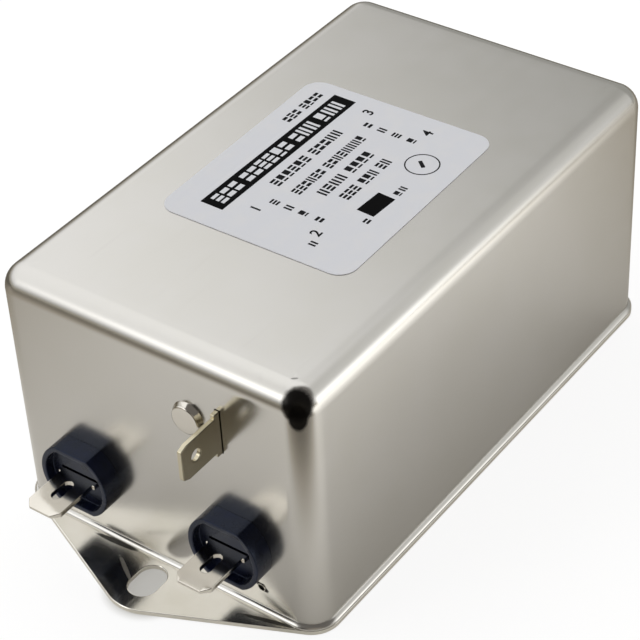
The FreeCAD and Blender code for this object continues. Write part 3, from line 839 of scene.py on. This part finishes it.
# Rows of plain shapes on the label: left end, place up the label, height of the shapes, length, and how
# many shapes each run of the row has
print_rows = [
    (-8.0, 5.65, 1.9, 17.3, (6, 5)),
    (-8.1, 1.60, 1.75, 18.0, (6, 8)),
    (-6.3, -1.90, 1.9, 13.3, (4, 4)),
    (-5.3, -5.35, 1.85, 12.1, (3, 3, 2)),
    (7.0, 14.5, 1.7, 9.5, (3, 4)),
]
# Small marks beside the rows: x, y, width, height, kind of sign
print_marks = [
    (-11.5, 2.8, 1.1, 1.5, 3), (-11.5, 0.15, 1.1, 1.5, 1), (-11.5, -2.5, 1.1, 1.5, 2),
    (-11.5, -5.5, 1.1, 1.5, 0), (13.0, 2.7, 1.1, 1.5, 0), (13.0, 0.05, 1.1, 1.5, 1),
    (13.0, -2.7, 1.1, 1.5, 3), (13.0, -5.5, 1.1, 1.5, 2), (-8.1, -11.7, 1.1, 1.2, 0),
    (0.2, -11.6, 1.0, 1.3, 2), (1.6, -11.6, 1.0, 1.3, 1), (-16.9, -8.2, 1.1, 1.3, 1),
]
# Numerals near the label's corners: numeral, x, y
print_digits = [("1", -15.0, 3.4), ("2", -15.2, -7.9), ("3", 15.4, 3.9), ("4", 15.4, -7.3)]


def stamp(skin, x, y, half_x, half_y, radius=0.05, tilt=0.0, low=PRINT_LOW, high=PRINT_HIGH):
    """A thin flat block of print, turned by tilt about its middle."""
    loop, way = trace(arcs_at(rectangle(0, 0, half_x, half_y, radius)), 3)
    placed = turned_by(loop, tilt) + np.array([x, y]), turned_by(way, tilt)
    skin.sheet([placed], low, high, PRINT_EDGE, level, steps=1)


def sign(skin, x, y, width, height, kind, low=PRINT_LOW, high=PRINT_HIGH):
    """A small plain shape: two bars, two posts, a block over a bar, or three bars. Each is given as
    blocks of (x, y, half width, half height) in shares of its size."""
    blocks = (
        ((0, 0.27, 0.5, 0.17), (0, -0.27, 0.5, 0.17)),
        ((-0.29, 0, 0.17, 0.5), (0.29, 0, 0.17, 0.5)),
        ((0, 0.17, 0.45, 0.33), (0, -0.41, 0.45, 0.09)),
        ((0, 0.38, 0.5, 0.12), (0, 0, 0.5, 0.12), (0, -0.38, 0.5, 0.12)),
    )[kind]
    for across, up, half_x, half_y in blocks:
        middle_x, middle_y = x + across * width, y + up * height
        stamp(skin, middle_x, middle_y, half_x * width, half_y * height, low=low, high=high)


def numeral(skin, body, x, y, size):
    """A plain numeral as a thin solid."""
    curve = bpy.data.curves.new("numeral", "FONT")
    curve.body = body
    curve.size = size
    curve.extrude = (PRINT_HIGH - PRINT_LOW) / 2
    curve.offset = 0.05
    shape = bpy.data.objects.new("numeral", curve)
    bpy.context.scene.collection.objects.link(shape)
    bpy.context.view_layer.update()
    mesh = bpy.data.meshes.new_from_object(shape.evaluated_get(bpy.context.evaluated_depsgraph_get()))
    points = np.array([vertex.co[:] for vertex in mesh.vertices])
    points += np.array([x, y, (PRINT_HIGH + PRINT_LOW) / 2])
    first = skin.count
    skin.points.append(points)
    skin.faces += [[first + index for index in face.vertices] for face in mesh.polygons]
    skin.count += len(points)
    bpy.data.objects.remove(shape)
    bpy.data.curves.remove(curve)
    bpy.data.meshes.remove(mesh)


def label_print():
    """The print: a black bar and a block, pale shapes on the bar, rows of shapes, marks, numerals and a
    ring with a dash. Gaps between the runs of a row are a share of the pitch of its shapes."""
    black = Skin()
    stamp(black, 0.05, 10.3, 17.35, 2.1, tilt=math.radians(-0.4))
    stamp(black, -3.9, -10.45, 2.7, 1.6, tilt=math.radians(-3))
    black.piece("label_print_black", black_ink)
    pale = Skin()
    pitch, x = 1.98, -16.1
    rng = np.random.default_rng(3)
    for count in (3, 6, 3, 3):
        for _ in range(count):
            sign(pale, x + pitch / 2, 10.3 - 0.007 * x, pitch * 0.78, 2.6, rng.integers(4),
                 PRINT_HIGH - 0.02, PRINT_HIGH + 0.003)
            x += pitch
        x += 0.4 * pitch
    pale.piece("label_print_pale", film_finish)
    grey = Skin()
    rng = np.random.default_rng(7)
    for x, y, height, length, runs in print_rows:
        pitch = length / (sum(runs) + 0.6 * (len(runs) - 1))
        for count in runs:
            for _ in range(count):
                sign(grey, x + pitch / 2, y, pitch * 0.80, height, rng.integers(4))
                x += pitch
            x += 0.6 * pitch
    for x, y, width, height, kind in print_marks:
        sign(grey, x, y, width, height, kind)
    for body, x, y in print_digits:
        numeral(grey, body, x, y, 2.6)
    stamp(grey, RING_X, RING_Y + 0.1, 0.95, 0.32, 0.1, math.radians(50))
    ring = [circle(RING_X, RING_Y, 2.8, 64), hole(circle(RING_X, RING_Y, 2.58, 64))]
    grey.sheet(ring, PRINT_LOW, PRINT_HIGH, PRINT_EDGE, level, steps=1)
    grey.piece("label_print_grey", grey_ink)


drawn_can()
eared_plate()
for end in ("line", "load"):
    for side, way in (("live", 1), ("neutral", -1)):
        y = way * TERMINAL_Y * (1 if end == "line" else -1)
        terminal_cup(end, side, y)
        terminal_blade(end, side, y)
earth_blade()
rivet()
vent_lip()
label()
label_print()

# Camera at the photograph's place

CAMERA_PLACE = Vector((-223.41, -168.26, 239.43)) * MM
CAMERA_AZIMUTH = math.radians(-52.303)
CAMERA_ELEVATION = math.radians(38.572)
CAMERA_ROLL = math.radians(-3.264)
FOCAL_PIXELS = 2220.6
FRAME_PIXELS = 640
SENSOR = 36.0


def photo_camera():
    """The camera, from its ways right, back and up. The right and up ways are rolled about the back
    one, which points from the object to the lens."""
    right = Vector((math.cos(CAMERA_AZIMUTH), math.sin(CAMERA_AZIMUTH), 0))
    level_back = Vector((right.y, -right.x, 0))
    back = level_back * math.cos(CAMERA_ELEVATION) + Vector((0, 0, math.sin(CAMERA_ELEVATION)))
    up = back.cross(right)
    turned_right = math.cos(CAMERA_ROLL) * right + math.sin(CAMERA_ROLL) * up
    turned_up = -math.sin(CAMERA_ROLL) * right + math.cos(CAMERA_ROLL) * up
    data = bpy.data.cameras.new("photo_camera")
    data.sensor_width = SENSOR
    data.lens = FOCAL_PIXELS / FRAME_PIXELS * SENSOR
    data.clip_start = 0.01
    camera = bpy.data.objects.new("photo_camera", data)
    bpy.context.scene.collection.objects.link(camera)
    turn = Matrix((turned_right, turned_up, back)).transposed().to_4x4()
    camera.matrix_world = Matrix.Translation(CAMERA_PLACE) @ turn
    bpy.context.scene.camera = camera


photo_camera()

# Floor and light

# The way the floor's wedge of shadow runs from the near corner
WEDGE_WAY = math.radians(-140)


def floor():
    """A pale floor, white to the camera but for the object's soft shadow. What the metal mirrors is painted
    light and shade: a sheet that grows brighter towards the lamp on the right and darker to the left and
    behind, with a painted wedge of shadow that opens from the near corner outwards, and a painted pool
    of light in which it glows. To the camera it has a grey spot of painted shadow, seen through the slot
    of the near ear. It is one-sided: from below it is clear, and a weak light on it lets the plate's
    underside be seen."""
    span = 3.0
    mesh = bpy.data.meshes.new("pale_floor")
    corners = [(-span, -span, 0), (span, -span, 0), (span, span, 0), (-span, span, 0)]
    mesh.from_pydata(corners, [], [(0, 1, 2, 3)])
    made = bpy.data.objects.new("pale_floor", mesh)
    bpy.context.scene.collection.objects.link(made)
    made.location = (0, 0, -0.0002)
    material, tree = finish_of("pale_floor")
    path = tree.node("ShaderNodeLightPath", output="Is Camera Ray")
    seat = tree.node("ShaderNodeTexCoord", output="Object")
    x = tree.node("ShaderNodeSeparateXYZ", inputs={0: seat}, output="X")
    y = tree.node("ShaderNodeSeparateXYZ", inputs={0: seat}, output="Y")
    # Painted shade of the floor that the metal mirrors, set by place on the floor
    shade = tree.ramp(x, -0.30, -0.09, 0.5, 1.0) * tree.ramp(y, 0.025, 0.10, 1.0, 0.5)
    shade = shade * tree.ramp(x + y * 0.75, -0.01, 0.09, 1.0, 0.36)
    # Painted shadow: a wedge that opens from the near corner outwards
    near_x, near_y = x + (HALF_LENGTH - 1) * MM, y + (HALF_WIDTH - 1.4) * MM
    away_x, away_y = math.cos(WEDGE_WAY), math.sin(WEDGE_WAY)
    away = near_x * away_x + near_y * away_y
    aside = tree.absolute(near_x * -away_y + near_y * away_x)
    shadow = tree.ramp(away, 0.012, 0.052) * tree.ramp(aside + away * -0.75, 0.010, 0.040, 1.0, 0.0)
    shade = shade * (1.0 - shadow * 0.9)
    # The floor's colour carries the painted shade, from dark brown to pale
    stops = [(0.0, (0.010, 0.008, 0.006)), (0.5, (0.43, 0.385, 0.31)), (1.0, (0.84, 0.823, 0.788))]
    base = tree.node("ShaderNodeValToRGB", {"stops": stops}, {"Fac": shade})
    diffuse = tree.node("ShaderNodeBsdfDiffuse", inputs={"Color": base})
    # Painted pool of light: the floor glows to all but the camera, more towards -Y and -X, and under the can
    climb = tree.node("ShaderNodeMapRange", inputs={
        "Value": y, "From Min": -0.03, "From Max": -0.19, "To Min": 0.09, "To Max": 1.2})
    lift = tree.ramp(x, -0.10, -0.06, 0.065, 0.0)
    under = tree.ramp(tree.absolute(x), 0.0455, 0.0465, 1.0, 0.0)
    under = under * tree.ramp(tree.absolute(y), 0.027, 0.028, 1.0, 0.0)
    pooled = tree.node("ShaderNodeVectorMath", {"operation": "SCALE"}, {
        0: (1.0, 0.99, 0.962), "Scale": shade * (climb + lift) + under * 0.25})
    pool = tree.node("ShaderNodeEmission", inputs={"Color": pooled, "Strength": 1.0})
    lit = tree.node("ShaderNodeAddShader", inputs={0: diffuse, 1: pool})
    paper = tree.node("ShaderNodeBsdfDiffuse", inputs={"Color": (0.9, 0.9, 0.9, 1)})
    # Painted shadow: a grey spot on the floor under the near ear's slot, seen by the camera
    from_slot = tree.node("ShaderNodeVectorMath", {"operation": "DISTANCE"},
                          {0: seat, 1: (-SLOT_CENTRE * MM, 0, 0)}, output="Value")
    shown = tree.mix(tree.ramp(from_slot, 0.005, 0.008), (0.49, 0.48, 0.45, 1), (1.07, 1.07, 1.07, 1))
    glow = tree.node("ShaderNodeEmission", inputs={"Color": shown, "Strength": 1.0})
    seen = tree.node("ShaderNodeMixShader", inputs={0: 0.82, 1: paper, 2: glow})
    both = tree.node("ShaderNodeMixShader", inputs={0: path, 1: lit, 2: seen})
    from_below = tree.node("ShaderNodeNewGeometry", output="Backfacing")
    clear = tree.node("ShaderNodeBsdfTransparent", inputs={"Color": (1, 1, 1, 1)})
    one_sided = tree.node("ShaderNodeMixShader", inputs={0: from_below, 1: both, 2: clear})
    tree.finish(one_sided)
    mesh.materials.append(material)


def sky_way(azimuth, elevation):
    """The unit vector at an azimuth from +X towards +Y and an elevation, in degrees."""
    a, e = math.radians(azimuth), math.radians(elevation)
    return (math.cos(a) * math.cos(e), math.sin(a) * math.cos(e), math.sin(e))


# Azimuth and elevation of the middle, half width of the even part and of the faded edge, in degrees,
# and the brightness
sky_panels = {
    "dark_room_behind": (3, 13, 27, 46, (0.42, 0.42, 0.40, 1)),
    "right_wall": (-50, 42, 8, 30, (0.82, 0.82, 0.80, 1)),
    "right_lamp_high": (-58, 7, 5, 17, (2.1, 2.1, 2.08, 1)),
    "right_lamp_low": (-58, -9, 5, 17, (2.1, 2.1, 2.08, 1)),
    "left_softbox": (157, 33, 9, 17, (2.4, 2.4, 2.38, 1)),
    "camera_and_room": (-135, 40, 46, 57, (0.17, 0.16, 0.15, 1)),
    "above_the_camera": (-128, 58, 44, 53, (0.17, 0.16, 0.15, 1)),
    "beside_the_camera": (-178, 0, 22, 29, (0.05, 0.045, 0.04, 1)),
    "doorway": (-138, 15, 12, 30, (0.33, 0.30, 0.26, 1)),
}


def studio_world():
    """A plain soft studio: bright overhead and darker towards the horizon, with lamps to the right, a
    soft box to the left and a dark side behind the camera. To the camera it is white."""
    world = bpy.data.worlds.new("soft_studio")
    bpy.context.scene.world = world
    tree = Tree(world)
    way = tree.node("ShaderNodeTexCoord", output="Generated")
    height = tree.node("ShaderNodeSeparateXYZ", inputs={0: way}, output="Z")
    stops = [(0.0, 0.4), (0.5, (0.40, 0.37, 0.30)), (0.545, (0.44, 0.41, 0.34)), (0.60, 0.66), (0.655, 1.05),
             (0.75, 1.18), (0.85, 1.22), (1.0, 1.28)]
    seen = tree.node("ShaderNodeValToRGB", {"stops": stops}, {"Fac": height * 0.5 + 0.5})
    for azimuth, elevation, inner, outer, shade in sky_panels.values():
        facing = tree.node("ShaderNodeVectorMath", {"operation": "DOT_PRODUCT"},
                           {0: way, 1: sky_way(azimuth, elevation)}, output="Value")
        share = tree.ramp(facing, math.cos(math.radians(outer)), math.cos(math.radians(inner)))
        seen = tree.mix(share, seen, shade)
    mirrored = tree.node("ShaderNodeLightPath", output="Is Glossy Ray")
    soft = tree.node("ShaderNodeBackground", inputs={"Color": seen, "Strength": 1.54})
    shown = tree.node("ShaderNodeBackground", inputs={"Color": seen, "Strength": 1.14})
    light = tree.node("ShaderNodeMixShader", inputs={0: mirrored, 1: soft, 2: shown})
    white = tree.node("ShaderNodeBackground", inputs={"Color": (1, 1, 1, 1), "Strength": 1.0})
    path = tree.node("ShaderNodeLightPath", output="Is Camera Ray")
    both = tree.node("ShaderNodeMixShader", inputs={0: path, 1: light, 2: white})
    tree.finish(both, "ShaderNodeOutputWorld")


floor()
studio_world()

bpy.context.scene.view_settings.view_transform = "Standard"
